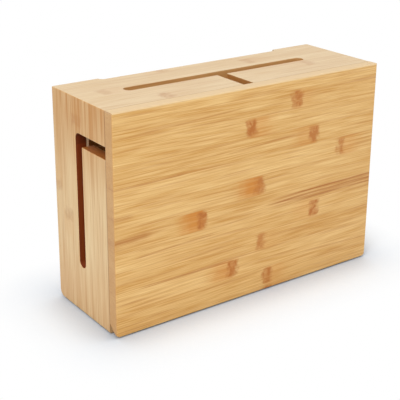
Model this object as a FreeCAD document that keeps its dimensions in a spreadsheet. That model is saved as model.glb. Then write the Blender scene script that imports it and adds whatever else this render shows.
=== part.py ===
import FreeCAD, Part
import math
import os
import Sketcher

# A bamboo cable management box that stands on its narrow long side. The case is a mitred frame of
# 12 mm boards with a thin back board. The full front is a cover that pulls straight off and is held
# by four magnets. The slots for the cables run out to the front edges of the case, so that a lead
# with its plug on can be laid in while the cover is off.
#
# Frame: X to the right along the front, Y from the front to the rear, Z up, in mm. The origin is
# the middle of the footprint, at the level that the feet stand on.

doc = FreeCAD.newDocument("cable_box")
sheet = doc.addObject("Spreadsheet::Sheet", "sizes")

driving_sizes = [
    # the whole box
    ("overall_width", 320),
    ("overall_depth", 110),
    ("overall_height", 220),
    ("board", 12),
    ("seam", 0.3),            # gap between the cover and the case
    ("eased_edge", 1.2),      # rounding of every outer edge
    ("heel_round", 7),        # rear bottom corner of the case
    ("foot_drop", 1.5),       # how far the feet stand out below the boards
    # cover
    ("toe_round", 4),         # bottom corners of the cover, seen from the front
    ("grip_rise", 11),        # height of the finger bevel on the cover's inner face
    ("grip_land", 2.2),       # thickness that the bevel leaves at the bottom edge
    ("grip_lip", 1.6),        # height of that edge's straight part
    # cable slots
    ("slot_width", 12),
    ("top_slot_length", 220),
    ("side_slot_foot", 50),   # lowest point of the slot in each side, above the feet
    ("side_slot_head", 34),   # distance of its top edge below the top of the box
    ("rim_ease", 0.6),        # rounding of the slots' outer rims
    ("recess_length", 220),
    ("recess_depth", 6),
    ("recess_round", 5),
    # back board
    ("back_board", 5),
    ("back_width", 256),
    ("groove_depth", 4),
    ("groove_play", 0.1),
    ("hanger_spacing", 180),
    ("hanger_height", 165),   # where the screw's shank rests, above the feet
    ("hanger_head", 10),      # round part that the screw's head goes through
    ("hanger_slot", 5),       # narrow part that hangs on its shank
    ("hanger_run", 10),       # from the middle of the round part to the top of the narrow one
    # magnets
    ("magnet_dia", 8),
    ("magnet_length", 8),
    ("magnet_proud", 1.5),    # how far it stands out of the case's front edge
    ("magnet_inset_top", 23),
    ("magnet_inset_base", 24),
    ("strike_thickness", 2),
    ("strike_gap", 0.3),      # between magnet and strike when the cover is on
    ("socket_play", 0.5),     # round the magnet in the cover's socket
    ("glue_gap", 0.1),
    # hidden joinery
    ("spline_thickness", 3),
    ("spline_width", 9),
    ("spline_length", 76),
    ("spline_setback", 6),    # from the mitre's inner corner to the spline's middle
    ("dowel_dia", 6),
    ("dowel_length", 24),
    ("dowel_in_side", 8),
    ("dowel_pitch", 34),
    # feet
    ("foot_dia", 12),
    ("foot_inset_x", 24),
    ("foot_inset_y", 19),
    ("foot_ease", 0.5),
]
for row, (name, size) in enumerate(driving_sizes, start=1):
    sheet.set("A%d" % row, name)
    sheet.set("B%d" % row, str(size))
    sheet.setAlias("B%d" % row, name)
doc.recompute()

# Places that follow from the sizes. Each is a formula on the sheet's names.
front = "(-sizes.overall_depth / 2)"
rear = "(sizes.overall_depth / 2)"
cover_back = "(%s + sizes.board)" % front
case_front = "(%s + sizes.seam)" % cover_back
case_middle = "((%s + %s) / 2)" % (cover_back, rear)
outer = "(sizes.overall_width / 2)"
inner = "(%s - sizes.board)" % outer
board_middle = "(%s - sizes.board / 2)" % outer
base = "sizes.foot_drop"
floor_top = "(%s + sizes.board)" % base
top = "sizes.overall_height"
ceiling = "(%s - sizes.board)" % top
slot_top = "(%s - sizes.side_slot_head)" % top
half_slot = "(sizes.slot_width / 2)"
back_rear = "(%s - sizes.recess_depth)" % rear
back_front = "(%s - sizes.back_board)" % back_rear
magnet_high = "(%s - sizes.magnet_inset_top)" % top
magnet_low = "(%s + sizes.magnet_inset_base)" % base
slant = "cos(45)"

bodies = []


def value(text):
    """the number that a formula on the sheet gives"""
    return float(sheet.evalExpression(text))


def plus(first, second):
    return "(%s + %s)" % (first, second)


def minus(first, second):
    return "(%s - %s)" % (first, second)


def times(sign, text):
    return "(%d * %s)" % (sign, text)


def new_body(name):
    body = doc.addObject("PartDesign::Body", name)
    body.Label = name
    bodies.append(body)
    return body


def new_sketch(body, name, role, offset):
    """a sketch on one of the body's origin planes, moved along the plane's normal by a formula"""
    sketch = body.newObject("Sketcher::SketchObject", body.Name + "_" + name)
    plane = [feature for feature in body.Origin.OriginFeatures if feature.Role == role][0]
    sketch.AttachmentSupport = (plane, [""])
    sketch.MapMode = "FlatFace"
    sketch.setExpression("AttachmentOffset.Base.z", offset)
    return sketch


def hold(sketch, kind, items, text):
    """a dimension whose value is a formula"""
    index = sketch.addConstraint(Sketcher.Constraint(kind, *items, value(text)))
    sketch.setExpression("Constraints[%d]" % index, text)


def draw_outline(sketch, corners):
    """a closed outline: each corner is x, y and, where an arc leads on to the next one, the x and y
    of that arc's centre"""
    places = [FreeCAD.Vector(value(corner[0]), value(corner[1]), 0) for corner in corners]
    first = sketch.GeometryCount
    count = len(corners)
    for index, corner in enumerate(corners):
        start, end = places[index], places[(index + 1) % count]
        if len(corner) == 2:
            sketch.addGeometry(Part.LineSegment(start, end), False)
        else:
            centre = FreeCAD.Vector(value(corner[2]), value(corner[3]), 0)
            sketch.addGeometry(Part.Arc(start, arc_middle(centre, start, end), end), False)
    for index, corner in enumerate(corners):
        start_point = sketch_end(sketch, first + index, places[index])
        before = first + (index - 1) % count
        end_point = sketch_end(sketch, before, places[index])
        sketch.addConstraint(Sketcher.Constraint("Coincident", before, end_point, first + index, start_point))
        hold(sketch, "DistanceX", (-1, 1, first + index, start_point), corner[0])
        hold(sketch, "DistanceY", (-1, 1, first + index, start_point), corner[1])
    for index, corner in enumerate(corners):
        if len(corner) > 2:
            chord = places[(index + 1) % count] - places[index]
            if abs(chord.y) > abs(chord.x) - 0.001:
                hold(sketch, "DistanceX", (-1, 1, first + index, 3), corner[2])
            else:
                hold(sketch, "DistanceY", (-1, 1, first + index, 3), corner[3])


def arc_middle(centre, start, end):
    """the point halfway along the shorter arc; a half circle runs anticlockwise"""
    first = start - centre
    last = end - centre
    turn = (math.atan2(last.y, last.x) - math.atan2(first.y, first.x)) % (2 * math.pi)
    if turn > math.pi + 0.001:
        turn -= 2 * math.pi
    half = turn / 2
    return centre + FreeCAD.Vector(first.x * math.cos(half) - first.y * math.sin(half),
                                   first.x * math.sin(half) + first.y * math.cos(half), 0)


def sketch_end(sketch, edge, place):
    """which end of an edge lies at a place: 1 its start, 2 its end (an arc may run either way)"""
    if (sketch.getPoint(edge, 1) - place).Length < (sketch.getPoint(edge, 2) - place).Length:
        return 1
    return 2


def draw_box(sketch, left, low, right, high):
    draw_outline(sketch, [(left, low), (right, low), (right, high), (left, high)])


def draw_circle(sketch, x, y, radius):
    centre = FreeCAD.Vector(value(x), value(y), 0)
    edge = sketch.addGeometry(Part.Circle(centre, FreeCAD.Vector(0, 0, 1), value(radius)), False)
    hold(sketch, "DistanceX", (-1, 1, edge, 3), x)
    hold(sketch, "DistanceY", (-1, 1, edge, 3), y)
    hold(sketch, "Radius", (edge,), radius)


def draw_long_hole(sketch, start, end, across, half_width, upright):
    """a slot with round ends from start to end, lying along x or standing along y"""
    low, high = minus(across, half_width), plus(across, half_width)
    near, far = plus(start, half_width), minus(end, half_width)
    if upright:
        draw_outline(sketch, [
            (high, near), (high, far, across, far), (low, far), (low, near, across, near)])
    else:
        draw_outline(sketch, [
            (near, low), (far, low, far, across), (far, high), (near, high, near, across)])


def pad(body, name, sketch, length):
    feature = body.newObject("PartDesign::Pad", body.Name + "_" + name)
    feature.Profile = sketch
    feature.setExpression("Length", length)
    doc.recompute()
    return feature


def cut(body, name, sketch, depth):
    """a pocket that goes as deep on both sides of its sketch, which lies on the face it enters"""
    before = body.Shape.Volume
    feature = body.newObject("PartDesign::Pocket", body.Name + "_" + name)
    feature.Profile = sketch
    feature.SideType = "Symmetric"
    feature.setExpression("Length", times(2, depth))
    doc.recompute()
    if not body.Shape.Volume < before:
        raise RuntimeError(feature.Name + " cuts nothing")
    return feature


def round_edges(body, name, wanted, radius):
    """a fillet on every edge that the test accepts"""
    return work_edges(body, name, wanted, "Fillet", "Radius", radius)


def bevel_edges(body, name, wanted, width):
    """a chamfer on every edge that the test accepts"""
    return work_edges(body, name, wanted, "Chamfer", "Size", width)


def work_edges(body, name, wanted, kind, measure, size):
    base_feature = body.Tip
    names = ["Edge%d" % index for index, edge in enumerate(base_feature.Shape.Edges, start=1) if wanted(edge)]
    if not names:
        raise RuntimeError(body.Name + "_" + name + " finds no edge")
    feature = body.newObject("PartDesign::" + kind, body.Name + "_" + name)
    feature.Base = (base_feature, names)
    feature.setExpression(measure, size)
    doc.recompute()
    return feature


def lies_at(edge, **planes):
    """true for an edge that lies wholly in each named plane, such as x=160"""
    box = edge.BoundBox
    near = 0.001
    spans = {"x": (box.XMin, box.XMax), "y": (box.YMin, box.YMax), "z": (box.ZMin, box.ZMax)}
    return all(abs(spans[axis][0] - place) < near and abs(spans[axis][1] - place) < near
               for axis, place in planes.items())


def make_front_cover():
    """the whole front: a board that covers the front edges of the case, bevelled behind its bottom
    edge for the fingers, with four sockets for the magnets"""
    body = new_body("front_cover")
    toe = "sizes.toe_round"
    outline = new_sketch(body, "outline", "XZ_Plane", times(-1, cover_back))
    draw_outline(outline, [
        (minus(toe, outer), base), (minus(outer, toe), base, minus(outer, toe), plus(base, toe)),
        (outer, plus(base, toe)), (outer, top), (times(-1, outer), top),
        (times(-1, outer), plus(base, toe), minus(toe, outer), plus(base, toe))])
    pad(body, "board", outline, "sizes.board")
    bevel = new_sketch(body, "bevel_outline", "YZ_Plane", "0")
    draw_outline(bevel, [
        (plus(front, "sizes.grip_land"), minus(base, "sizes.board")),
        (plus(cover_back, "sizes.board"), minus(base, "sizes.board")),
        (plus(cover_back, "sizes.board"), plus(base, "sizes.grip_rise")),
        (cover_back, plus(base, "sizes.grip_rise")),
        (plus(front, "sizes.grip_land"), plus(base, "sizes.grip_lip"))])
    cut(body, "finger_bevel", bevel, outer)
    sockets = new_sketch(body, "socket_outline", "XZ_Plane", times(-1, cover_back))
    for side in (-1, 1):
        for height in (magnet_low, magnet_high):
            draw_circle(sockets, times(side, board_middle), height, socket_radius)
    cut(body, "magnet_sockets", sockets, socket_depth)
    face = value(front)
    round_edges(body, "eased_front", lambda edge: lies_at(edge, y=face), "sizes.eased_edge")


def make_top_panel():
    """the mitred top board: a long slot with a short one that leads to its front edge, and a recess
    in the rear edge where cables pass between the box and a wall"""
    body = new_body("top_panel")
    outline = new_sketch(body, "outline", "XZ_Plane", times(-1, rear))
    draw_box(outline, times(-1, outer), ceiling, outer, top)
    pad(body, "board", outline, minus(rear, case_front))
    level, end_face, edge_of_rear = value(top), value(outer), value(rear)
    round_edges(body, "eased_outside", lambda edge: lies_at(edge, z=level, y=edge_of_rear)
                or any(lies_at(edge, x=place, z=level) or lies_at(edge, x=place, y=edge_of_rear)
                       for place in (-end_face, end_face)), "sizes.eased_edge")
    mitres = new_sketch(body, "mitre_outline", "XZ_Plane", times(-1, case_middle))
    for side in (-1, 1):
        far = times(side, plus(outer, "sizes.board"))
        draw_outline(mitres, [(times(side, inner), ceiling), (far, plus(top, "sizes.board")), (far, ceiling)])
    cut(body, "mitres", mitres, "sizes.overall_depth")
    reach = "(sizes.top_slot_length / 2)"
    long_slot = new_sketch(body, "long_slot_outline", "XY_Plane", top)
    draw_long_hole(long_slot, times(-1, reach), reach, case_middle, half_slot, False)
    cut(body, "long_slot", long_slot, times(2, "sizes.board"))
    entry = new_sketch(body, "entry_outline", "XY_Plane", top)
    draw_box(entry, times(-1, half_slot), minus(case_front, "sizes.board"), half_slot, case_middle)
    cut(body, "entry", entry, times(2, "sizes.board"))
    bend = "sizes.recess_round"
    end = "(sizes.recess_length / 2)"
    recess = new_sketch(body, "recess_outline", "XY_Plane", top)
    draw_outline(recess, [
        (times(-1, end), plus(rear, "sizes.board")),
        (times(-1, end), plus(back_rear, bend), plus(times(-1, end), bend), plus(back_rear, bend)),
        (plus(times(-1, end), bend), back_rear),
        (minus(end, bend), back_rear, minus(end, bend), plus(back_rear, bend)),
        (end, plus(back_rear, bend)), (end, plus(rear, "sizes.board"))])
    cut(body, "rear_recess", recess, times(2, "sizes.board"))
    groove = new_sketch(body, "groove_outline", "YZ_Plane", "0")
    draw_box(groove, minus(back_front, "sizes.groove_play"), minus(ceiling, "sizes.board"),
             plus(back_rear, "sizes.groove_play"), plus(ceiling, "sizes.groove_depth"))
    cut(body, "back_groove", groove, plus("sizes.back_width / 2", "sizes.groove_play"))
    cut_spline_grooves(body, (-1, 1))
    slot_rim = value(half_slot) + value(reach)
    round_edges(body, "eased_slots", lambda edge: lies_at(edge, z=level)
                and abs(edge.BoundBox.XMin) < slot_rim and abs(edge.BoundBox.XMax) < slot_rim
                and edge.BoundBox.YMax < value(back_front), "sizes.rim_ease")


def make_side_panel(side):
    """one side board: mitred to the top, with an upright slot whose top turns forward to the front
    edge, and a rounded corner at the rear of its foot"""
    body = new_body(side_name(side) + "_side_panel")
    outline = new_sketch(body, "outline", "XZ_Plane", times(-1, rear))
    draw_box(outline, times(side, inner), base, times(side, outer), top)
    pad(body, "board", outline, minus(rear, case_front))
    heel_y, low, high = value(rear), value(base), value(top)
    round_edges(body, "heel", lambda edge: lies_at(edge, y=heel_y, z=low), "sizes.heel_round")
    face, edge_of_front = side * value(outer), value(case_front)
    round_edges(body, "eased_outside", lambda edge: lies_at(edge, x=face)
                and not lies_at(edge, y=edge_of_front), "sizes.eased_edge")
    mitre = new_sketch(body, "mitre_outline", "XZ_Plane", times(-1, case_middle))
    draw_outline(mitre, [
        (times(side, inner), ceiling), (times(side, plus(outer, "sizes.board")), plus(top, "sizes.board")),
        (times(side, inner), plus(top, "sizes.board"))])
    cut(body, "mitre", mitre, "sizes.overall_depth")
    upright = new_sketch(body, "slot_outline", "YZ_Plane", times(side, board_middle))
    draw_long_hole(upright, "sizes.side_slot_foot", slot_top, case_middle, half_slot, True)
    cut(body, "upright_slot", upright, "sizes.board")
    entry = new_sketch(body, "entry_outline", "YZ_Plane", times(side, board_middle))
    draw_box(entry, minus(case_front, "sizes.board"), minus(slot_top, "sizes.slot_width"),
             case_middle, slot_top)
    cut(body, "entry", entry, "sizes.board")
    holes = new_sketch(body, "magnet_hole_outline", "XZ_Plane", times(-1, case_front))
    for height in (magnet_low, magnet_high):
        draw_circle(holes, times(side, board_middle), height, magnet_hole_radius)
    cut(body, "magnet_holes", holes, minus("sizes.magnet_length", "sizes.magnet_proud"))
    cut_dowel_holes(body, side, plus("sizes.dowel_in_side", "sizes.glue_gap"))
    cut_spline_grooves(body, (side,))
    slot_rear = value(case_middle) + value(half_slot)
    round_edges(body, "eased_slots", lambda edge: lies_at(edge, x=face)
                and low + 2 < edge.BoundBox.ZMin < high - 2 and edge.BoundBox.YMax < slot_rear + 1
                and edge.BoundBox.YMax > edge_of_front + 1, "sizes.rim_ease")


def make_bottom_panel():
    """the board between the two sides that the power strip stands on"""
    body = new_body("bottom_panel")
    outline = new_sketch(body, "outline", "XY_Plane", base)
    draw_box(outline, times(-1, inner), case_front, inner, rear)
    pad(body, "board", outline, "sizes.board")
    groove = new_sketch(body, "groove_outline", "YZ_Plane", "0")
    draw_box(groove, minus(back_front, "sizes.groove_play"), minus(floor_top, "sizes.groove_depth"),
             plus(back_rear, "sizes.groove_play"), plus(floor_top, "sizes.board"))
    cut(body, "back_groove", groove, plus("sizes.back_width / 2", "sizes.groove_play"))
    for side in (-1, 1):
        in_board = minus("sizes.dowel_length", "sizes.dowel_in_side")
        cut_dowel_holes(body, side, plus(in_board, "sizes.glue_gap"))
    heel_y, heel_z = value(rear), value(base)
    round_edges(body, "heel", lambda edge: lies_at(edge, y=heel_y, z=heel_z), "sizes.heel_round")


def make_back_panel():
    """the thin back board, narrower than the case so that cables pass on both sides of it, with two
    keyholes to hang the box on screws"""
    body = new_body("back_panel")
    half = "(sizes.back_width / 2)"
    outline = new_sketch(body, "outline", "XZ_Plane", times(-1, back_rear))
    draw_box(outline, times(-1, half), plus(minus(floor_top, "sizes.groove_depth"), "sizes.groove_play"),
             half, minus(plus(ceiling, "sizes.groove_depth"), "sizes.groove_play"))
    pad(body, "board", outline, "sizes.back_board")
    shank_top = plus("sizes.hanger_height", "sizes.hanger_slot / 2")
    eye = minus(shank_top, "sizes.hanger_run")
    for side in (-1, 1):
        across = times(side, "sizes.hanger_spacing / 2")
        name = side_name(side) + "_keyhole"
        eye_sketch = new_sketch(body, name + "_eye_outline", "XZ_Plane", times(-1, back_rear))
        draw_circle(eye_sketch, across, eye, "(sizes.hanger_head / 2)")
        cut(body, name + "_eye", eye_sketch, "sizes.board")
        neck_sketch = new_sketch(body, name + "_neck_outline", "XZ_Plane", times(-1, back_rear))
        draw_long_hole(neck_sketch, minus(eye, "sizes.hanger_slot / 2"), shank_top, across,
                       "(sizes.hanger_slot / 2)", True)
        cut(body, name + "_neck", neck_sketch, "sizes.board")


def cut_spline_grooves(body, sides):
    """the stopped groove across each mitre that the loose tongue is glued into"""
    for side in sides:
        sketch = new_sketch(body, side_name(side) + "_spline_outline", "XZ_Plane", times(-1, case_middle))
        draw_spline(sketch, side, "sizes.glue_gap")
        cut(body, side_name(side) + "_spline_groove", sketch, plus("sizes.spline_length / 2", "sizes.glue_gap"))


def draw_spline(sketch, side, play):
    """the tongue's section: a bar square to the mitre, across its middle"""
    centre_x = plus(inner, "sizes.spline_setback * %s" % slant)
    centre_z = plus(ceiling, "sizes.spline_setback * %s" % slant)
    along = "((sizes.spline_width / 2 + %s) * %s)" % (play, slant)
    thick = "((sizes.spline_thickness / 2 + %s) * %s)" % (play, slant)
    corners = []
    for reach, rise in ((-1, -1), (1, -1), (1, 1), (-1, 1)):
        x = "(%s + %d * %s + %d * %s)" % (centre_x, reach, along, rise, thick)
        z = "(%s - %d * %s + %d * %s)" % (centre_z, reach, along, rise, thick)
        corners.append((times(side, x), z))
    draw_outline(sketch, corners)


def make_mitre_spline(side):
    body = new_body(side_name(side) + "_mitre_spline")
    half = "(sizes.spline_length / 2)"
    sketch = new_sketch(body, "outline", "XZ_Plane", times(-1, plus(case_middle, half)))
    draw_spline(sketch, side, "0")
    pad(body, "tongue", sketch, "sizes.spline_length")


def dowel_places():
    """three dowels in a row along the depth of the case"""
    return [plus(case_middle, times(step, "sizes.dowel_pitch")) for step in (-1, 0, 1)]


def cut_dowel_holes(body, side, depth):
    sketch = new_sketch(body, side_name(side) + "_dowel_outline", "YZ_Plane", times(side, inner))
    for place in dowel_places():
        draw_circle(sketch, place, dowel_height, plus("sizes.dowel_dia / 2", "sizes.glue_gap"))
    cut(body, side_name(side) + "_dowel_holes", sketch, depth)


def make_base_dowels(side):
    """the dowels that join the bottom board to one side"""
    body = new_body(side_name(side) + "_base_dowels")
    low = "sizes.dowel_in_side" if side > 0 else minus("sizes.dowel_length", "sizes.dowel_in_side")
    sketch = new_sketch(body, "outline", "YZ_Plane", plus(times(side, inner), low))
    for place in dowel_places():
        draw_circle(sketch, place, dowel_height, "(sizes.dowel_dia / 2)")
    feature = pad(body, "rods", sketch, "sizes.dowel_length")
    feature.Reversed = True


def make_magnet(side, level, height):
    """a magnet glued into the front edge of a side board, standing a little proud of it"""
    body = new_body(level + "_" + side_name(side) + "_magnet")
    inner_end = plus(minus(case_front, "sizes.magnet_proud"), "sizes.magnet_length")
    sketch = new_sketch(body, "outline", "XZ_Plane", times(-1, inner_end))
    draw_circle(sketch, times(side, board_middle), height, "(sizes.magnet_dia / 2)")
    pad(body, "rod", sketch, "sizes.magnet_length")


def make_strike(side, level, height):
    """the steel disc at the bottom of a socket in the cover, which the magnet pulls on"""
    body = new_body(level + "_" + side_name(side) + "_strike")
    sketch = new_sketch(body, "outline", "XZ_Plane", times(-1, strike_face))
    draw_circle(sketch, times(side, board_middle), height, minus(socket_radius, "sizes.glue_gap"))
    pad(body, "disc", sketch, "sizes.strike_thickness")


def make_foot(side, end):
    """a soft stick-on foot under a corner of the bottom board"""
    body = new_body(("front_" if end < 0 else "rear_") + side_name(side) + "_foot")
    sketch = new_sketch(body, "outline", "XY_Plane", "0")
    across = times(side, minus(inner, "sizes.foot_inset_x"))
    edge = plus(case_front, "sizes.foot_inset_y") if end < 0 else minus(rear, "sizes.foot_inset_y")
    draw_circle(sketch, across, edge, "(sizes.foot_dia / 2)")
    pad(body, "disc", sketch, "sizes.foot_drop")
    bevel_edges(body, "eased_rim", lambda rim: lies_at(rim, z=0), "sizes.foot_ease")


def side_name(side):
    return "right" if side > 0 else "left"


magnet_face = minus(case_front, "sizes.magnet_proud")
strike_face = minus(magnet_face, "sizes.strike_gap")
socket_radius = plus("sizes.magnet_dia / 2", "sizes.socket_play")
socket_depth = minus(cover_back, minus(strike_face, "sizes.strike_thickness"))
magnet_hole_radius = plus("sizes.magnet_dia / 2", "sizes.glue_gap")
dowel_height = plus(base, "sizes.board / 2")

make_front_cover()
make_top_panel()
for side in (-1, 1):
    make_side_panel(side)
make_bottom_panel()
make_back_panel()
for side in (-1, 1):
    make_mitre_spline(side)
    make_base_dowels(side)
    for level, height in (("lower", magnet_low), ("upper", magnet_high)):
        make_magnet(side, level, height)
        make_strike(side, level, height)
    for end in (-1, 1):
        make_foot(side, end)
doc.recompute()

for item in doc.Objects:
    if "Invalid" in item.State or "Error" in item.State:
        raise RuntimeError("%s failed: %s" % (item.Name, item.State))
for body in bodies:
    if body.Shape.isNull() or not body.Shape.isValid():
        raise RuntimeError(body.Label + " has no valid shape")

os.makedirs("parts", exist_ok=True)
for body in bodies:
    body.Shape.exportStep("parts/%s.step" % body.Label)
print("%d pieces" % len(bodies))
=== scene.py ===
import bpy
import math
import numpy as np
from mathutils import Matrix, Vector


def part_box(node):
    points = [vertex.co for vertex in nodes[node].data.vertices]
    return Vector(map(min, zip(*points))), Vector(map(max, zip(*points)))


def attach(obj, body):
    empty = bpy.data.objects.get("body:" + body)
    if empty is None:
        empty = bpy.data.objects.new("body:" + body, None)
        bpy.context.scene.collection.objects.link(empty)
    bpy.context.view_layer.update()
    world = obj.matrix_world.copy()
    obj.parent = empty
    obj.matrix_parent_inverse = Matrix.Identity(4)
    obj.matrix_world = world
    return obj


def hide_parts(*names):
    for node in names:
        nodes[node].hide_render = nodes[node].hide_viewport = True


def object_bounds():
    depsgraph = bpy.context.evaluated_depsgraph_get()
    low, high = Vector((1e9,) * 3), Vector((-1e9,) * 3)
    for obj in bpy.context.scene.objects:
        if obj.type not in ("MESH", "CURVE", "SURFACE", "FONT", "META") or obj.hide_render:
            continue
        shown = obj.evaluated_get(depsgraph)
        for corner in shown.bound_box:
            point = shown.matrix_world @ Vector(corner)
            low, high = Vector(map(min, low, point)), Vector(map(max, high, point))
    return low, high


# A bamboo cable box on a pale studio floor. The boards, magnets and joinery are the frame's own
# nodes with finishes worked out here; the four stick-on feet are replaced by domed ones.

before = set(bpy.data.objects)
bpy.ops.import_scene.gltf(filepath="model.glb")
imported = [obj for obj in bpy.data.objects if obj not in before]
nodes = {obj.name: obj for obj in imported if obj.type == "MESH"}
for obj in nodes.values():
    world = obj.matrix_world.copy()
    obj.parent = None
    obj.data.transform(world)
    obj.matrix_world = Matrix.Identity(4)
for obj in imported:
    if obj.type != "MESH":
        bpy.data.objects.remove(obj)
cadLow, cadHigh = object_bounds()
mm = 0.001


def linear(hexText):
    # sRGB hex to linear colour: the low end is a straight line, the rest a power of 2.4
    out = []
    for start in (0, 2, 4):
        level = int(hexText[start:start + 2], 16) / 255
        out.append(level / 12.92 if level <= 0.04045 else ((level + 0.055) / 1.055) ** 2.4)
    return (*out, 1.0)


def addNode(tree, kind, inputs=None, **settings):
    # one node: settings first, then each input is linked when it is a node or a socket
    node = tree.nodes.new(kind)
    for name, setting in settings.items():
        setattr(node, name, setting)
    for key, given in (inputs or {}).items():
        socket = node.inputs[key]
        if isinstance(given, bpy.types.Node):
            given = next(output for output in given.outputs if output.enabled)
        if isinstance(given, bpy.types.NodeSocket):
            tree.links.new(given, socket)
        else:
            socket.default_value = given
    return node


def newMaterial(name):
    material = bpy.data.materials.new(name)
    material.use_nodes = True
    material.node_tree.nodes.clear()
    return material, material.node_tree


def finishWith(nodeName, material):
    # the node keeps its mesh and takes this material on every slot
    mesh = nodes[nodeName].data
    if not mesh.materials:
        mesh.materials.append(material)
    for index in range(len(mesh.materials)):
        mesh.materials[index] = material


# Bamboo, flat pressed: strips about 20 mm wide glued side by side, sanded and lacquered matt.
# The eye sees fine fibres along each strip, strips that differ a little in tone, and on each strip
# one node of the cane: a mottled red-brown bar, on some strips with an orange flush beside it.
bambooLook = {
    "stripWidth": 20.35 * mm,
    "fibreWidth": 0.75 * mm,           # a real fibre bundle is 0.4 mm, too fine to show here
    "fibreLength": 42 * mm,
    "fibreDetail": 3.0,
    "streakWidth": 2.6 * mm,
    "streakLength": 85 * mm,
    "streakDetail": 2.0,
    "cloudWidth": 11 * mm,
    "cloudLength": 95 * mm,
    "cloudDetail": 2.0,
    "layerRough": 0.6,
    "stripStep": 7.31,                 # how far the grain's pattern jumps from strip to strip
    "waver": 1.0 * mm,
    "waverScale": 9.0,                 # bends per metre
    "waverDetail": 1.0,
    "fibreLevels": (0.30, 0.70),       # levels of the noise that count as none and as full
    "cloudLevels": (0.32, 0.68),
    "streakLevels": (0.52, 0.74),
    "fibreShare": 0.69,
    "cloudShare": 0.30,
    "toneSpread": 0.36,
    "seamWidth": 0.5 * mm,
    "seamShare": 0.30,
    "placeSpan": 1.5,                  # listed node places reach over this many board lengths
    "knotHalf": 8.6 * mm,
    "knotCore": 0.30,                  # share of that half that is full
    "knotInside": (0.36, 0.49),        # from the strip's middle; its edge is at 0.5
    "knotLeast": 0.45,
    "blotScale": 150.0,                # blots per metre inside a node
    "blotDetail": 2.5,
    "blotTwist": 0.6,
    "blotLevels": (0.34, 0.54),
    "blotLeast": 0.52,
    "rag": 14 * mm,                    # how far a node's outline wanders in all
    "ragScale": 130.0,
    "ragDetail": 2.5,
    "flushRise": (-6 * mm, 2 * mm),    # measured outwards from the node's middle
    "flushFade": (10 * mm, 36 * mm),
    "flushLevels": (0.35, 0.60),
    "flushLeast": 0.55,
    "threadMix": 0.55,                 # share of the fine fibres in a vein's threads
    "threadLevels": (0.38, 0.56),
    "threadLeast": 0.3,
    "veinTaper": 0.7,                  # share of a vein's half length that is full
    "fibreLift": 0.6,                  # how much of the relief is fibre, next to the streaks
    "reliefStrength": 0.35,
    "reliefHeight": 0.12 * mm,
    "gloss": (0.44, 0.56),
    "coat": 0.12,
    "coatRough": 0.4,
    "ior": 1.5,
}


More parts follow.
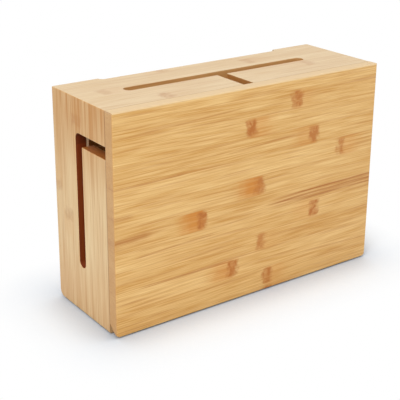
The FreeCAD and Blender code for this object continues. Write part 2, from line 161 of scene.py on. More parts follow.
def bambooBoard(name, look):
    # formula: u runs along the grain, v across the strips and w through the board;
    # strip = floor((v - stripStart) / stripWidth), and every strip has its own tone and node place
    material, tree = newMaterial(name)
    made = {**bambooLook, **look}
    place = addNode(tree, "ShaderNodeTexCoord")
    split = addNode(tree, "ShaderNodeSeparateXYZ", {0: place.outputs["Object"]})
    u, v, w = (split.outputs["XYZ".index(letter)] for letter in made["axes"])
    shift = addNode(tree, "ShaderNodeMath", {0: v, 1: made["stripStart"]}, operation="SUBTRACT")
    inStrips = addNode(tree, "ShaderNodeMath", {0: shift, 1: made["stripWidth"]}, operation="DIVIDE")
    strip = addNode(tree, "ShaderNodeMath", {0: inStrips}, operation="FLOOR")
    inside = addNode(tree, "ShaderNodeMath", {0: inStrips}, operation="FRACT")

    # slow sideways waver of the fibres
    waverAt = addNode(tree, "ShaderNodeCombineXYZ", {0: u, 1: v, 2: strip})
    waverNoise = addNode(tree, "ShaderNodeTexNoise", {
        "Vector": waverAt, "Scale": made["waverScale"], "Detail": made["waverDetail"]})
    waverOff = addNode(tree, "ShaderNodeMath", {
        0: waverNoise.outputs[0], 1: made["waver"] * 2}, operation="MULTIPLY")
    vWavy = addNode(tree, "ShaderNodeMath", {0: v, 1: waverOff}, operation="ADD")

    # three layers of grain, each a noise stretched along the strip: fibres, streaks and clouds
    layers = {}
    for layer in ("fibre", "streak", "cloud"):
        perLength, perWidth = 1 / made[layer + "Length"], 1 / made[layer + "Width"]
        along = addNode(tree, "ShaderNodeMath", {0: u, 1: perLength}, operation="MULTIPLY")
        across = addNode(tree, "ShaderNodeMath", {0: vWavy, 1: perWidth}, operation="MULTIPLY")
        through = addNode(tree, "ShaderNodeMath", {0: w, 1: perWidth}, operation="MULTIPLY")
        seeded = addNode(tree, "ShaderNodeMath", {
            0: strip, 1: made["stripStep"], 2: along}, operation="MULTIPLY_ADD")
        at = addNode(tree, "ShaderNodeCombineXYZ", {0: seeded, 1: across, 2: through})
        noise = addNode(tree, "ShaderNodeTexNoise", {
            "Vector": at, "Scale": 1.0, "Detail": made[layer + "Detail"], "Roughness": made["layerRough"]})
        layers[layer] = noise.outputs[0]

    # each strip's node place, tone, flush side and node strength: listed, or drawn at random
    seedAt = addNode(tree, "ShaderNodeMath", {0: strip, 1: made["seed"]}, operation="ADD")
    drawn = addNode(tree, "ShaderNodeTexWhiteNoise", {"W": seedAt}, noise_dimensions="1D")
    facts, strength, knotReach = drawn.outputs["Color"], drawn.outputs["Value"], made["length"]
    if "strips" in made:
        count, knotReach = len(made["strips"]), made["length"] * made["placeSpan"]
        ramp = addNode(tree, "ShaderNodeValToRGB")
        stripMiddle = addNode(tree, "ShaderNodeMath", {0: strip, 1: 0.5}, operation="ADD")
        stripShare = addNode(tree, "ShaderNodeMath", {0: stripMiddle, 1: 1 / count}, operation="MULTIPLY")
        tree.links.new(stripShare.outputs[0], ramp.inputs[0])
        ramp.color_ramp.interpolation = "CONSTANT"
        for index, (knot, toneLevel, flushSide, knotLevel) in enumerate(made["strips"]):
            stops = ramp.color_ramp.elements
            stop = stops[index] if index < 2 else stops.new(index / count)    # a new ramp has 2
            stop.position = index / count
            stop.color = (knot * mm / knotReach, toneLevel, flushSide, knotLevel)
        facts, strength = ramp.outputs[0], ramp.outputs[1]
    apart = addNode(tree, "ShaderNodeSeparateColor", {0: facts})
    knotShare, tone, flushTurn = apart.outputs[0], apart.outputs[1], apart.outputs[2]

    # the node: a ragged bar across the strip, mottled, ending just short of the strip's edges
    knotAt = addNode(tree, "ShaderNodeMath", {
        0: knotShare, 1: knotReach, 2: made["uStart"]}, operation="MULTIPLY_ADD")
    ragged = addNode(tree, "ShaderNodeTexNoise", {
        "Vector": place.outputs["Object"], "Scale": made["ragScale"], "Detail": made["ragDetail"]})
    rag = addNode(tree, "ShaderNodeMath", {
        0: ragged.outputs[0], 1: made["rag"], 2: -made["rag"] / 2}, operation="MULTIPLY_ADD")
    fromKnot = addNode(tree, "ShaderNodeMath", {0: u, 1: knotAt}, operation="SUBTRACT")
    fromRagged = addNode(tree, "ShaderNodeMath", {0: fromKnot, 1: rag}, operation="ADD")
    distance = addNode(tree, "ShaderNodeMath", {0: fromRagged}, operation="ABSOLUTE")
    bar = addNode(tree, "ShaderNodeMapRange", {
        "Value": distance, "From Min": made["knotHalf"] * made["knotCore"], "From Max": made["knotHalf"],
        "To Min": 1.0, "To Max": 0.0}, interpolation_type="SMOOTHSTEP")
    mottle = addNode(tree, "ShaderNodeTexNoise", {
        "Vector": place.outputs["Object"], "Scale": made["blotScale"], "Detail": made["blotDetail"],
        "Distortion": made["blotTwist"]})
    mottled = addNode(tree, "ShaderNodeMapRange", {
        "Value": mottle.outputs[0], "From Min": made["blotLevels"][0], "From Max": made["blotLevels"][1],
        "To Min": made["blotLeast"], "To Max": 1.0})
    fromMiddle = addNode(tree, "ShaderNodeMath", {0: inside, 1: 0.5}, operation="SUBTRACT")
    offMiddle = addNode(tree, "ShaderNodeMath", {0: fromMiddle}, operation="ABSOLUTE")
    withinStrip = addNode(tree, "ShaderNodeMapRange", {
        "Value": offMiddle, "From Min": made["knotInside"][0], "From Max": made["knotInside"][1],
        "To Min": 1.0, "To Max": 0.0})
    barMottled = addNode(tree, "ShaderNodeMath", {0: bar, 1: mottled}, operation="MULTIPLY")
    knotMask = addNode(tree, "ShaderNodeMath", {0: barMottled, 1: withinStrip}, operation="MULTIPLY")
    knotWeight = addNode(tree, "ShaderNodeMapRange", {
        "Value": strength, "To Min": made["knotStrength"] * made["knotLeast"],
        "To Max": made["knotStrength"]})
    knotPart = addNode(tree, "ShaderNodeMath", {0: knotMask, 1: knotWeight}, operation="MULTIPLY")

    # the flush lies on one side of the node: 0 is full on the left, 0.5 none, 1 full on the right,
    # so its level is twice the distance from 0.5
    turned = addNode(tree, "ShaderNodeMath", {0: flushTurn, 1: 0.5}, operation="SUBTRACT")
    turnedBy = addNode(tree, "ShaderNodeMath", {0: turned}, operation="ABSOLUTE")
    flushLevel = addNode(tree, "ShaderNodeMath", {
        0: turnedBy, 1: made["flushStrength"] * 2}, operation="MULTIPLY")
    sideRight = addNode(tree, "ShaderNodeMath", {0: flushTurn, 1: 0.5}, operation="GREATER_THAN")
    sideSign = addNode(tree, "ShaderNodeMath", {0: sideRight, 1: 2.0, 2: -1.0}, operation="MULTIPLY_ADD")
    outward = addNode(tree, "ShaderNodeMath", {0: fromRagged, 1: sideSign}, operation="MULTIPLY")
    flushIn = addNode(tree, "ShaderNodeMapRange", {
        "Value": outward, "From Min": made["flushRise"][0], "From Max": made["flushRise"][1],
        "To Min": 0.0, "To Max": 1.0}, interpolation_type="SMOOTHSTEP")
    flushOut = addNode(tree, "ShaderNodeMapRange", {
        "Value": outward, "From Min": made["flushFade"][0], "From Max": made["flushFade"][1],
        "To Min": 1.0, "To Max": 0.0}, interpolation_type="SMOOTHSTEP")
    flush = addNode(tree, "ShaderNodeMath", {0: flushIn, 1: flushOut}, operation="MULTIPLY")
    flushFibred = addNode(tree, "ShaderNodeMapRange", {
        "Value": layers["streak"], "From Min": made["flushLevels"][0], "From Max": made["flushLevels"][1],
        "To Min": made["flushLeast"], "To Max": 1.0})
    flushMask = addNode(tree, "ShaderNodeMath", {0: flush, 1: flushFibred}, operation="MULTIPLY")
    flushPart = addNode(tree, "ShaderNodeMath", {0: flushMask, 1: flushLevel}, operation="MULTIPLY")

    # colour: pale and deep bamboo by fibre, cloud and strip, then red streaks, flush, node and seam
    fibreShare = addNode(tree, "ShaderNodeMapRange", {
        "Value": layers["fibre"], "From Min": made["fibreLevels"][0], "From Max": made["fibreLevels"][1],
        "To Min": 0.0, "To Max": 1.0})
    cloudShare = addNode(tree, "ShaderNodeMapRange", {
        "Value": layers["cloud"], "From Min": made["cloudLevels"][0], "From Max": made["cloudLevels"][1],
        "To Min": 0.0, "To Max": 1.0})
    toneShare = addNode(tree, "ShaderNodeMath", {0: tone, 1: made["toneSpread"]}, operation="MULTIPLY")
    blend = addNode(tree, "ShaderNodeMath", {
        0: fibreShare, 1: made["fibreShare"], 2: toneShare}, operation="MULTIPLY_ADD")
    depth = addNode(tree, "ShaderNodeMath", {
        0: cloudShare, 1: made["cloudShare"], 2: blend}, operation="MULTIPLY_ADD")
    colour = addNode(tree, "ShaderNodeMix", {
        0: depth, 6: linear(made["pale"]), 7: linear(made["deep"])}, data_type="RGBA")
    streakShare = addNode(tree, "ShaderNodeMapRange", {
        "Value": layers["streak"], "From Min": made["streakLevels"][0], "From Max": made["streakLevels"][1],
        "To Min": 0.0, "To Max": made["streakStrength"]})
    seamEdge = addNode(tree, "ShaderNodeMapRange", {
        "Value": offMiddle, "From Min": 0.5 - made["seamWidth"] / made["stripWidth"], "From Max": 0.5,
        "To Min": 0.0, "To Max": made["seamShare"]})
    for share, paint in ((streakShare, "red"), (flushPart, "orange"), (knotPart, "knot"), (seamEdge, "red")):
        colour = addNode(tree, "ShaderNodeMix", {
            0: share, 6: colour, 7: linear(made[paint])}, data_type="RGBA")
    threads = addNode(tree, "ShaderNodeMix", {0: made["threadMix"], 2: layers["streak"], 3: layers["fibre"]})
    for vein in made.get("veins", ()):
        colour = drawVein(tree, colour, u, vWavy, threads, made, vein)
    for crown in made.get("crowns", ()):
        colour = deepenCrown(tree, colour, u, layers["streak"], crown)
    for edge in made.get("edges", ()):
        colour = paintEdge(tree, colour, split, edge)
    # painted shade on the slots' walls
    if "paintedSlotShade" in made:
        colour = paintSlotShade(tree, split, colour, made["paintedSlotShade"])

    # lacquer: the fibres stand up a tenth of a millimetre and break the sheen
    height = addNode(tree, "ShaderNodeMath", {
        0: layers["fibre"], 1: made["fibreLift"], 2: layers["streak"]}, operation="MULTIPLY_ADD")
    relief = addNode(tree, "ShaderNodeBump", {
        "Strength": made["reliefStrength"], "Distance": made["reliefHeight"], "Height": height})
    rough = addNode(tree, "ShaderNodeMapRange", {
        "Value": layers["fibre"], "From Min": made["fibreLevels"][0], "From Max": made["fibreLevels"][1],
        "To Min": made["gloss"][0], "To Max": made["gloss"][1]})
    shader = addNode(tree, "ShaderNodeBsdfPrincipled", {
        "Base Color": colour, "Roughness": rough, "Normal": relief, "Coat Weight": made["coat"],
        "Coat Roughness": made["coatRough"], "IOR": made["ior"]})
    addNode(tree, "ShaderNodeOutputMaterial", {"Surface": shader})
    return material


def drawVein(tree, colour, u, v, threads, made, vein):
    # a brown vein: a straight line from one end to the other, soft across and split into threads
    startU, startV, endU, endV, half, strength = vein
    rise = (endV - startV) / (endU - startU)
    lineBase = made["vStart"] + (startV - rise * startU) * mm - rise * made["uStart"]
    line = addNode(tree, "ShaderNodeMath", {0: u, 1: rise, 2: lineBase}, operation="MULTIPLY_ADD")
    off = addNode(tree, "ShaderNodeMath", {0: v, 1: line}, operation="SUBTRACT")
    away = addNode(tree, "ShaderNodeMath", {0: off}, operation="ABSOLUTE")
    across = addNode(tree, "ShaderNodeMapRange", {
        "Value": away, "From Min": 0.0, "From Max": half * mm, "To Min": 1.0, "To Max": 0.0},
        interpolation_type="SMOOTHSTEP")
    middleU, halfU = made["uStart"] + (startU + endU) / 2 * mm, abs(endU - startU) / 2 * mm
    offU = addNode(tree, "ShaderNodeMath", {0: u, 1: middleU}, operation="SUBTRACT")
    awayU = addNode(tree, "ShaderNodeMath", {0: offU}, operation="ABSOLUTE")
    along = addNode(tree, "ShaderNodeMapRange", {
        "Value": awayU, "From Min": halfU * made["veinTaper"], "From Max": halfU, "To Min": 1.0,
        "To Max": 0.0}, interpolation_type="SMOOTHSTEP")
    frayed = addNode(tree, "ShaderNodeMapRange", {
        "Value": threads, "From Min": made["threadLevels"][0], "From Max": made["threadLevels"][1],
        "To Min": strength * made["threadLeast"], "To Max": strength})
    both = addNode(tree, "ShaderNodeMath", {0: across, 1: along}, operation="MULTIPLY")
    share = addNode(tree, "ShaderNodeMath", {0: both, 1: frayed}, operation="MULTIPLY")
    return addNode(tree, "ShaderNodeMix", {0: share, 6: colour, 7: linear(made["vein"])}, data_type="RGBA")


def deepenCrown(tree, colour, u, streak, crown):
    # the board grows deeper and more streaked towards one end
    rising = addNode(tree, "ShaderNodeMapRange", {
        "Value": u, "From Min": crown["fromHeight"], "From Max": crown["toHeight"], "To Min": 0.0,
        "To Max": 1.0}, interpolation_type="SMOOTHSTEP")
    lines = addNode(tree, "ShaderNodeMapRange", {
        "Value": streak, "From Min": crown["levels"][0], "From Max": crown["levels"][1],
        "To Min": crown["least"], "To Max": crown["most"]})
    share = addNode(tree, "ShaderNodeMath", {0: rising, 1: lines}, operation="MULTIPLY")
    return addNode(tree, "ShaderNodeMix", {
        0: share, 6: colour, 7: linear(crown["colour"])}, data_type="RGBA")


def paintEdge(tree, colour, split, edge):
    # the cover's top edge is painted paler as a painted highlight, end grain is darker, and the sides of the
    # seam are darker as painted shade: the mix grows from one level of an axis to another
    axis, begin, end, share, paint = edge
    rising = addNode(tree, "ShaderNodeMapRange", {
        "Value": split.outputs["XYZ".index(axis)], "From Min": begin, "From Max": end, "To Min": 0.0,
        "To Max": share})
    return addNode(tree, "ShaderNodeMix", {0: rising, 6: colour, 7: linear(paint)}, data_type="RGBA")


def paintSlotShade(tree, split, colour, slots):
    # painted shade on the slots' walls, deep in the board's recesses: the wood is darkened inside boxes in
    # the board, each with its low corner, its high corner and the tint that the wood is multiplied by inside
    # them
    result = colour
    for low, high, shadeTint in slots:
        mask = None
        for axis in range(3):
            middle, half = (low[axis] + high[axis]) / 2, (high[axis] - low[axis]) / 2
            within = addNode(tree, "ShaderNodeMath", {0: split.outputs[axis], 1: middle, 2: half},
                             operation="COMPARE")
            mask = within if mask is None else addNode(
                tree, "ShaderNodeMath", {0: mask, 1: within}, operation="MULTIPLY")
        dark = addNode(tree, "ShaderNodeMix", {0: 1.0, 6: colour, 7: linear(shadeTint)}, data_type="RGBA",
                       blend_type="MULTIPLY")
        result = addNode(tree, "ShaderNodeMix", {0: mask, 6: result, 7: dark}, data_type="RGBA")
    return result


frontLow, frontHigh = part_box("front_cover")
topLow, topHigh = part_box("top_panel")
sideLow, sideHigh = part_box("left_side_panel")
boardLooks = {
    "front_cover": {
        "axes": "XZY", "stripStart": frontLow.z + 4.6 * mm, "uStart": frontLow.x, "vStart": frontLow.z,
        "length": frontHigh.x - frontLow.x, "seed": 3.0,
        # each strip's node: place from the left in mm, the strip's tone, the flush's side, strength
        "strips": (
            (180, 0.45, 0.66, 0.8), (134, 0.15, 0.2, 0.9), (170, 0.55, 0.6, 0.45), (240, 0.3, 0.35, 0.9),
            (97, 0.5, 0.0, 1.0), (167, 0.35, 0.04, 0.6), (274, 0.1, 0.7, 0.5), (236, 0.5, 0.3, 0.75),
            (155, 0.25, 0.74, 1.0), (211, 0.4, 0.6, 0.85), (420, 0.2, 0.5, 0.0)),
        # each vein in mm: from, height there, to, height there, half thickness; then its strength
        "veins": (
            (172, 94, 400, 95, 9.0, 0.5), (166, 94, 400, 95, 2.1, 1.0), (196, 98.5, 400, 99.5, 1.7, 0.9),
            (204, 90, 400, 90.5, 1.6, 0.85), (-50, 95, 44, 97, 6.5, 0.6), (-40, 119, 24, 120, 4.0, 0.5),
            (-20, 148, 84, 149, 1.6, 0.6), (22, 45, 136, 45, 1.8, 0.8),
            (60, 196, 150, 201, 1.4, 0.4), (120, 158, 236, 163, 1.5, 0.45),
            (14, 76, 120, 80, 2.6, 0.5), (226, 30, 322, 26, 1.8, 0.45)),
        # top: the cover's top face takes the top panel's tone and its eased edge a painted highlight; ends:
        # darker end grain; rear face: painted shade in the seam with the sides
        "edges": (("Z", frontHigh.z - 1.5 * mm, frontHigh.z - 0.9 * mm, 0.85, "dabd90"),
                  ("X", frontLow.x + 0.7 * mm, frontLow.x + 0.2 * mm, 0.65, "bd8c58"),
                  ("X", frontHigh.x - 0.7 * mm, frontHigh.x - 0.2 * mm, 0.65, "bd8c58"),
                  ("Y", frontHigh.y - 0.9 * mm, frontHigh.y - 0.4 * mm, 0.25, "7a4a26")),
        "pale": "f1cb88", "deep": "c58d3b", "red": "b0702c", "orange": "c67a14", "knot": "b0640c",
        "vein": "a86214", "streakStrength": 0.5, "knotStrength": 1.0, "flushStrength": 1.0,
    },
    "top_panel": {
        "axes": "XYZ", "stripStart": topLow.y, "uStart": topLow.x, "length": topHigh.x - topLow.x,
        "seed": 21.0, "strips": (
            (71, 0.3, 1.0, 0.8), (262, 0.5, 0.0, 0.3), (30, 0.2, 1.0, 0.2), (214, 0.6, 1.0, 0.3),
            (118, 0.4, 0.0, 0.2)), "pale": "e3cda6", "deep": "cfae80",
        "red": "b98c5e", "orange": "c99a68", "knot": "a9713f", "streakStrength": 0.35,
        "knotStrength": 0.5, "flushStrength": 0.25,
    },
    "left_side_panel": {
        "axes": "ZYX", "stripStart": sideLow.y + 1 * mm, "uStart": sideLow.z,
        "length": sideHigh.z - sideLow.z, "seed": 33.0, "strips": (
            (310, 0.4, 1.0, 0.0), (310, 0.2, 1.0, 0.0), (196, 0.5, 1.0, 0.9), (96, 0.3, 0.0, 0.3),
            (122, 0.6, 1.0, 0.3), (30, 0.4, 1.0, 0.2)),
        "pale": "ecd19f", "deep": "d5ad77", "red": "bb834a", "orange": "d09856", "knot": "9c5c28",
        "streakStrength": 0.5, "knotStrength": 0.42, "flushStrength": 0.3,
        # painted shade in the seam with the cover, along the side's front edge
        "edges": (("Y", sideLow.y + 0.9 * mm, sideLow.y + 0.3 * mm, 0.32, "7a4a26"),),
        "crowns": (
            {"fromHeight": 112 * mm, "toHeight": 212 * mm, "levels": (0.36, 0.62), "least": 0.34,
             "most": 0.92, "colour": "bd7f34"},
            {"fromHeight": 80 * mm, "toHeight": 4 * mm, "levels": (0.36, 0.62), "least": 0.12,
             "most": 0.55, "colour": "c68a48"}),
    },
    "bottom_panel": {
        "axes": "XYZ", "stripStart": topLow.y, "uStart": topLow.x, "length": topHigh.x - topLow.x,
        "seed": 47.0, "pale": "e5c390", "deep": "cda06a", "red": "b87c46", "orange": "cc9352",
        "knot": "9a5a2c", "streakStrength": 0.4, "knotStrength": 0.6, "flushStrength": 0.4,
    },
    "back_panel": {
        "axes": "XZY", "stripStart": frontLow.z + 9 * mm, "uStart": frontLow.x,
        "length": frontHigh.x - frontLow.x, "seed": 58.0, "pale": "e0b87f", "deep": "c69250",
        "red": "ad7039", "orange": "c58844", "knot": "935020", "streakStrength": 0.5,
        "knotStrength": 0.75, "flushStrength": 0.5,
    },
}
slotWall = {
    "skin": 0.5 * mm,       # how far below the board's faces the painted shade starts
    "margin": 0.6 * mm,     # how far it goes into the wood beside the slot
    # the slots as they are cut in the boards
    "slotWidth": 12 * mm, "sideFoot": 50 * mm, "sideHead": 186 * mm, "board": 12 * mm,
    "topLength": 220 * mm,
    "ledgeSkin": 1.5 * mm,  # how far the branch's floor, which faces up and takes a lighter painted shade, reaches into the upright slot
    # these tints darken the slots' walls as painted shade; the ledge tint is lighter, for the branch's floor
    # that faces up
    "uprightTint": "9c5220", "branchTint": "8a4a1e", "ledgeTint": "cf9a62",
    "longTint": "f0cda0", "stemTint": "dcae78",
}
slotMiddle = (frontHigh.y + topHigh.y) / 2    # halfway between the cover and the rear


def sideSlotBoxes(sign):
    # boxes of painted shade for the upright slot and the branch that leads forward from its top
    far = slotWall["skin"]
    xs = sorted((sign * (cadHigh.x - far), sign * (cadHigh.x - slotWall["board"] + far)))
    half = slotWall["slotWidth"] / 2 + slotWall["margin"]
    foot, head = slotWall["sideFoot"] - slotWall["margin"], slotWall["sideHead"] + slotWall["margin"]
    branch = slotWall["sideHead"] - slotWall["slotWidth"] - slotWall["margin"]
    floorTop = branch + 2 * slotWall["margin"]
    return [((xs[0], slotMiddle - half, foot), (xs[1], slotMiddle + half, head), slotWall["uprightTint"]),
            ((xs[0], topLow.y + far, branch), (xs[1], slotMiddle + half, head), slotWall["branchTint"]),
            ((xs[0], topLow.y + far, branch),
             (xs[1], slotMiddle - half + slotWall["ledgeSkin"], floorTop), slotWall["ledgeTint"])]


def topSlotBoxes():
    # boxes of painted shade for the long slot and the stem that leads forward from its middle
    low, high = cadHigh.z - slotWall["board"] + slotWall["skin"], cadHigh.z - slotWall["skin"]
    half = slotWall["slotWidth"] / 2 + slotWall["margin"]
    reach = slotWall["topLength"] / 2 + slotWall["margin"]
    return [((-reach, slotMiddle - half, low), (reach, slotMiddle + half, high), slotWall["longTint"]),
            ((-half, topLow.y + slotWall["skin"], low), (half, slotMiddle, high), slotWall["stemTint"])]


def finishBoards():
    top = dict(boardLooks["top_panel"], paintedSlotShade=topSlotBoxes())
    left = dict(boardLooks["left_side_panel"], paintedSlotShade=sideSlotBoxes(-1))
    right = dict(boardLooks["left_side_panel"], paintedSlotShade=sideSlotBoxes(1), seed=76.0)
    boards = {
        "front_cover": bambooBoard("lacquered_bamboo_front", boardLooks["front_cover"]),
        "top_panel": bambooBoard("lacquered_bamboo_top", top),
        "left_side_panel": bambooBoard("lacquered_bamboo_left", left),
        "right_side_panel": bambooBoard("lacquered_bamboo_right", right),
        "bottom_panel": bambooBoard("lacquered_bamboo_base", boardLooks["bottom_panel"]),
        "back_panel": bambooBoard("thin_bamboo_back", boardLooks["back_panel"]),
    }
    for nodeName, material in boards.items():
        finishWith(nodeName, material)
    print("boards finished:", len(boards))


# Beech, planed for the splines and turned for the dowels, then glued in: plain and pale, with
# short dark flecks along the grain.
joineryLook = {
    "wood": "dcb98c", "fleck": "b58657", "fleckWidth": 0.4 * mm, "fleckLength": 3 * mm,
    "fleckDetail": 2.0, "fleckLevels": (0.5, 0.75), "reliefStrength": 0.3, "reliefHeight": 0.05 * mm,
    "rough": 0.6,
}


def beechJoinery():
    material, tree = newMaterial("machined_beech")
    place = addNode(tree, "ShaderNodeTexCoord")
    perLength, perWidth = 1 / joineryLook["fleckLength"], 1 / joineryLook["fleckWidth"]
    stretch = addNode(tree, "ShaderNodeMapping", {
        "Vector": place.outputs["Object"], "Scale": (perLength, perWidth, perWidth)})
    fleck = addNode(tree, "ShaderNodeTexNoise", {
        "Vector": stretch, "Scale": 1.0, "Detail": joineryLook["fleckDetail"]})
    share = addNode(tree, "ShaderNodeMapRange", {
        "Value": fleck.outputs[0], "From Min": joineryLook["fleckLevels"][0],
        "From Max": joineryLook["fleckLevels"][1]})
    colour = addNode(tree, "ShaderNodeMix", {
        0: share, 6: linear(joineryLook["wood"]), 7: linear(joineryLook["fleck"])}, data_type="RGBA")
    relief = addNode(tree, "ShaderNodeBump", {
        "Strength": joineryLook["reliefStrength"], "Distance": joineryLook["reliefHeight"],
        "Height": fleck.outputs[0]})
    shader = addNode(tree, "ShaderNodeBsdfPrincipled", {
        "Base Color": colour, "Roughness": joineryLook["rough"], "Normal": relief})
    addNode(tree, "ShaderNodeOutputMaterial", {"Surface": shader})
    return material


# Plated metal: nickel on the magnets, bright and slightly warm; zinc on the strikes, bluish and
# dull. The eye sees a faint clouding from handling, in the tone and in the gloss alike.
platingClouds = {"detail": 3.0, "levels": (0.3, 0.7), "reliefStrength": 0.2, "reliefHeight": 0.02 * mm}
platingLooks = {
    "nickel_plated_magnet": {"metal": "c9c5bb", "worn": "a8a49a", "gloss": (0.16, 0.30), "grit": 0.6 * mm},
    "zinc_plated_strike": {"metal": "b4b8bd", "worn": "8f949a", "gloss": (0.32, 0.48), "grit": 0.9 * mm},
}


def platedMetal(name):
    look = platingLooks[name]
    material, tree = newMaterial(name)
    place = addNode(tree, "ShaderNodeTexCoord")
    cloud = addNode(tree, "ShaderNodeTexNoise", {
        "Vector": place.outputs["Object"], "Scale": 1 / look["grit"], "Detail": platingClouds["detail"]})
    colour = addNode(tree, "ShaderNodeMix", {
        0: cloud.outputs[0], 6: linear(look["metal"]), 7: linear(look["worn"])}, data_type="RGBA")
    rough = addNode(tree, "ShaderNodeMapRange", {
        "Value": cloud.outputs[0], "From Min": platingClouds["levels"][0],
        "From Max": platingClouds["levels"][1], "To Min": look["gloss"][0], "To Max": look["gloss"][1]})
    relief = addNode(tree, "ShaderNodeBump", {
        "Strength": platingClouds["reliefStrength"], "Distance": platingClouds["reliefHeight"],
        "Height": cloud.outputs[0]})
    shader = addNode(tree, "ShaderNodeBsdfPrincipled", {
        "Base Color": colour, "Roughness": rough, "Metallic": 1.0, "Normal": relief})
    addNode(tree, "ShaderNodeOutputMaterial", {"Surface": shader})
    return material


# Clear soft polyurethane for the feet, cast in drops: milky, with dust that clouds it.
footLook = {
    "gel": "c9c7bf", "dust": "aaa79e", "grain": 1.2 * mm, "dustDetail": 3.0, "rough": 0.35,
    "milk": 0.2, "milkDepth": 1.0 * mm,
    "flatShare": 0.55,      # the flat disc on the floor, as a share of the radius
    "power": 3, "around": 40, "rows": 14,
}


def castPolyurethane():
    material, tree = newMaterial("cast_polyurethane")
    place = addNode(tree, "ShaderNodeTexCoord")
    dust = addNode(tree, "ShaderNodeTexNoise", {
        "Vector": place.outputs["Object"], "Scale": 1 / footLook["grain"], "Detail": footLook["dustDetail"]})
    colour = addNode(tree, "ShaderNodeMix", {
        0: dust.outputs[0], 6: linear(footLook["gel"]), 7: linear(footLook["dust"])}, data_type="RGBA")
    shader = addNode(tree, "ShaderNodeBsdfPrincipled", {
        "Base Color": colour, "Roughness": footLook["rough"], "Subsurface Weight": footLook["milk"],
        "Subsurface Scale": footLook["milkDepth"]})
    addNode(tree, "ShaderNodeOutputMaterial", {"Surface": shader})
    return material


def domedFoot(nodeName, material):
    # formula: a profile carried round the foot's axis; from a flat disc on the floor it widens to
    # the full radius at the top by a quarter of a superellipse of power 3, and both ends are closed
    low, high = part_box(nodeName)
    radius, height = (high.x - low.x) / 2, high.z - low.z
    turn = np.linspace(0, math.pi / 2, footLook["rows"])
    power, flat = 2 / footLook["power"], footLook["flatShare"]
    ringR = radius * (flat + (1 - flat) * np.sin(turn) ** power)
    ringZ = low.z + height * (1 - np.cos(turn) ** power)
    angle = np.arange(footLook["around"]) * 2 * math.pi / footLook["around"]
    middleX, middleY = (low.x + high.x) / 2, (low.y + high.y) / 2
    x = middleX + np.outer(ringR, np.cos(angle))
    y = middleY + np.outer(ringR, np.sin(angle))
    z = np.repeat(ringZ[:, None], len(angle), axis=1)
    grid = np.stack([x, y, z], axis=-1).reshape(-1, 3)
    poles = np.array([[middleX, middleY, low.z], [middleX, middleY, high.z]])
    count, rows = len(angle), len(ringR)
    step = np.arange(count)
    beside = (step + 1) % count
    faces = []
    for row in range(rows - 1):
        a, b = row * count, (row + 1) * count
        faces += np.stack([a + step, a + beside, b + beside, b + step], axis=1).tolist()
    first, last = rows * count, rows * count + 1
    faces += np.stack([np.full(count, first), beside, step], axis=1).tolist()
    top = (rows - 1) * count
    faces += np.stack([np.full(count, last), top + step, top + beside], axis=1).tolist()
    mesh = bpy.data.meshes.new("domed_" + nodeName)
    mesh.from_pydata(np.concatenate([grid, poles]).tolist(), [], faces)
    mesh.polygons.foreach_set("use_smooth", np.ones(len(mesh.polygons), bool))
    mesh.materials.append(material)
    foot = bpy.data.objects.new("domed_" + nodeName, mesh)
    bpy.context.scene.collection.objects.link(foot)
    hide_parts(nodeName)
    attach(foot, "case")


def finishHardware():
    beech = beechJoinery()
    nickel, zinc = platedMetal("nickel_plated_magnet"), platedMetal("zinc_plated_strike")
    gel = castPolyurethane()
    for side in ("left", "right"):
        finishWith(side + "_mitre_spline", beech)
        finishWith(side + "_base_dowels", beech)
        for level in ("lower", "upper"):
            finishWith("%s_%s_magnet" % (level, side), nickel)
            finishWith("%s_%s_strike" % (level, side), zinc)
        for end in ("front", "rear"):
            domedFoot("%s_%s_foot" % (end, side), gel)
    print("joinery, magnets, strikes and feet finished")


# The studio: a flat white paper floor that keeps a soft shadow round the box, deepened close under it by a
# painted contact shadow, a wide soft lamp to the left of the front, a weaker one to the right, a third
# overhead, and an even white room. The paper is uncoated: it looks matt and even, with a grain that is
# barely seen.
studio = {
    "floorHalf": 6.0, "nearGlow": 0.0, "farGlow": 1.0, "glowReach": 85 * mm, "roomLevel": 0.55,
    "contactReach": 45 * mm, "contactShadowTint": "dadde2", "contactLevels": (0.5, 0.96), "contactSamples": 12,
    "paper": ("ebf0f6", "eff4f9"), "paperDetail": 2.0,
    "paperGrain": 900.0,    # grains per metre
    "everyHeight": 10.0,    # a half height beyond the scene, so that only the footprint counts
    "lamps": (
        {"name": "keyLamp", "at": (-1.5, -1.3, 2.0), "size": 1.6, "watts": 40.0},
        {"name": "fillLamp", "at": (1.9, -1.6, 1.2), "size": 2.0, "watts": 11.0},
        {"name": "topLamp", "at": (0.2, 0.3, 2.4), "size": 1.4, "watts": 9.0},
    ),
}


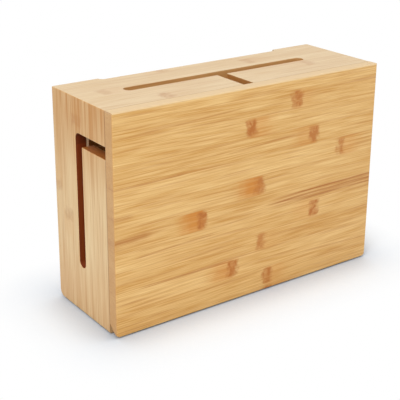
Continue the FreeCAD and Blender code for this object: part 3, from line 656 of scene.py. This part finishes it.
def buildStudio():
    half = studio["floorHalf"]
    mesh = bpy.data.meshes.new("studio_floor")
    corners = np.array([(-half, -half, 0), (half, -half, 0), (half, half, 0), (-half, half, 0)])
    mesh.from_pydata((corners + np.array([0, 0, cadLow.z])).tolist(), [], [(0, 1, 2, 3)])
    floor = bpy.data.objects.new("studio_floor", mesh)
    bpy.context.scene.collection.objects.link(floor)
    material, tree = newMaterial("matt_white_paper")
    place = addNode(tree, "ShaderNodeTexCoord")
    grain = addNode(tree, "ShaderNodeTexNoise", {
        "Vector": place.outputs["Object"], "Scale": studio["paperGrain"], "Detail": studio["paperDetail"]})
    tint = addNode(tree, "ShaderNodeMix", {
        0: grain.outputs[0], 6: linear(studio["paper"][0]), 7: linear(studio["paper"][1])}, data_type="RGBA")
    # close under the box the paper's colour is darkened as a painted contact shadow, by how much of the sky
    # above it is covered
    contact = addNode(tree, "ShaderNodeAmbientOcclusion", {
        "Distance": studio["contactReach"]}, samples=studio["contactSamples"])
    openShare = addNode(tree, "ShaderNodeMapRange", {
        "Value": contact.outputs["AO"], "From Min": studio["contactLevels"][0],
        "From Max": studio["contactLevels"][1]})
    dimmed = addNode(tree, "ShaderNodeMix", {
        0: openShare, 6: linear(studio["contactShadowTint"]), 7: linear("ffffff")}, data_type="RGBA")
    shaded = addNode(tree, "ShaderNodeMix", {0: 1.0, 6: tint, 7: dimmed}, data_type="RGBA",
                     blend_type="MULTIPLY")
    paper = addNode(tree, "ShaderNodeBsdfDiffuse", {"Color": shaded})
    glow = addNode(tree, "ShaderNodeEmission", {"Color": (1, 1, 1, 1), "Strength": 1.0})
    rays = addNode(tree, "ShaderNodeLightPath")
    # for the camera the paper glows to white: the share grows with the distance from the box's
    # footprint, length(max(|p| - half, 0))
    halfBox = (cadHigh.x, cadHigh.y, studio["everyHeight"])
    mirrored = addNode(tree, "ShaderNodeVectorMath", {0: place.outputs["Object"]}, operation="ABSOLUTE")
    beyond = addNode(tree, "ShaderNodeVectorMath", {0: mirrored, 1: halfBox}, operation="SUBTRACT")
    outside = addNode(tree, "ShaderNodeVectorMath", {0: beyond, 1: (0, 0, 0)}, operation="MAXIMUM")
    reach = addNode(tree, "ShaderNodeVectorMath", {0: outside}, operation="LENGTH")
    glowShare = addNode(tree, "ShaderNodeMapRange", {
        "Value": reach.outputs["Value"], "From Min": 0.0, "From Max": studio["glowReach"],
        "To Min": studio["nearGlow"], "To Max": studio["farGlow"]}, interpolation_type="SMOOTHSTEP")
    seen = addNode(tree, "ShaderNodeMath", {
        0: rays.outputs["Is Camera Ray"], 1: glowShare}, operation="MULTIPLY")
    mixed = addNode(tree, "ShaderNodeMixShader", {0: seen, 1: paper, 2: glow})
    addNode(tree, "ShaderNodeOutputMaterial", {"Surface": mixed})
    mesh.materials.append(material)

    world = bpy.data.worlds.new("white_room")
    world.use_nodes = True
    world.node_tree.nodes.clear()
    room = world.node_tree
    path = addNode(room, "ShaderNodeLightPath")
    glossy = addNode(room, "ShaderNodeMath", {
        0: path.outputs["Is Camera Ray"], 1: path.outputs["Is Glossy Ray"]}, operation="MAXIMUM")
    clear = addNode(room, "ShaderNodeMath", {
        0: glossy, 1: path.outputs["Is Transmission Ray"]}, operation="MAXIMUM")
    dim = addNode(room, "ShaderNodeBackground", {"Color": (1, 1, 1, 1), "Strength": studio["roomLevel"]})
    white = addNode(room, "ShaderNodeBackground", {"Color": (1, 1, 1, 1), "Strength": 1.0})
    both = addNode(room, "ShaderNodeMixShader", {0: clear, 1: dim, 2: white})
    addNode(room, "ShaderNodeOutputWorld", {"Surface": both})
    bpy.context.scene.world = world

    aim = (cadLow + cadHigh) / 2
    for lamp in studio["lamps"]:
        data = bpy.data.lights.new(lamp["name"], "AREA")
        data.shape, data.size, data.energy = "DISK", lamp["size"], lamp["watts"]
        light = bpy.data.objects.new(lamp["name"], data)
        light.location = lamp["at"]
        light.rotation_euler = (aim - Vector(lamp["at"])).to_track_quat("-Z", "Y").to_euler()
        bpy.context.scene.collection.objects.link(light)
    print("studio built")


# The camera stands left of the front and above the top, as the photograph's did. Its place is
# measured from the bottom left corner of the front; the focal length is in pixels of 400.
cameraFit = {
    "fromCorner": (-408.2 * mm, -695.3 * mm, 463.2 * mm), "turn": 35.84, "fall": 19.52, "roll": 0.43,
    "focal": 978.0, "frameWidth": 400, "sensor": 36.0, "shiftY": -0.1,
}


def placeCamera():
    turn, fall, roll = (math.radians(cameraFit[key]) for key in ("turn", "fall", "roll"))
    ahead = Vector((math.sin(turn) * math.cos(fall), math.cos(turn) * math.cos(fall), -math.sin(fall)))
    right = Vector((math.cos(turn), -math.sin(turn), 0))
    up = right.cross(ahead)
    rolledRight = right * math.cos(roll) + up * math.sin(roll)
    rolledUp = up * math.cos(roll) - right * math.sin(roll)
    data = bpy.data.cameras.new("studioCamera")
    data.sensor_width = cameraFit["sensor"]
    data.lens = cameraFit["focal"] / cameraFit["frameWidth"] * cameraFit["sensor"]
    data.shift_y = cameraFit["shiftY"]
    camera = bpy.data.objects.new("studioCamera", data)
    turned = Matrix((rolledRight, rolledUp, -ahead)).transposed().to_4x4()
    camera.matrix_world = Matrix.Translation(cadLow + Vector(cameraFit["fromCorner"])) @ turned
    bpy.context.scene.collection.objects.link(camera)
    bpy.context.scene.camera = camera
    print("camera placed, lens %.1f mm" % data.lens)


placeCamera()
finishBoards()
finishHardware()
buildStudio()
bpy.context.scene.view_settings.view_transform = "Standard"
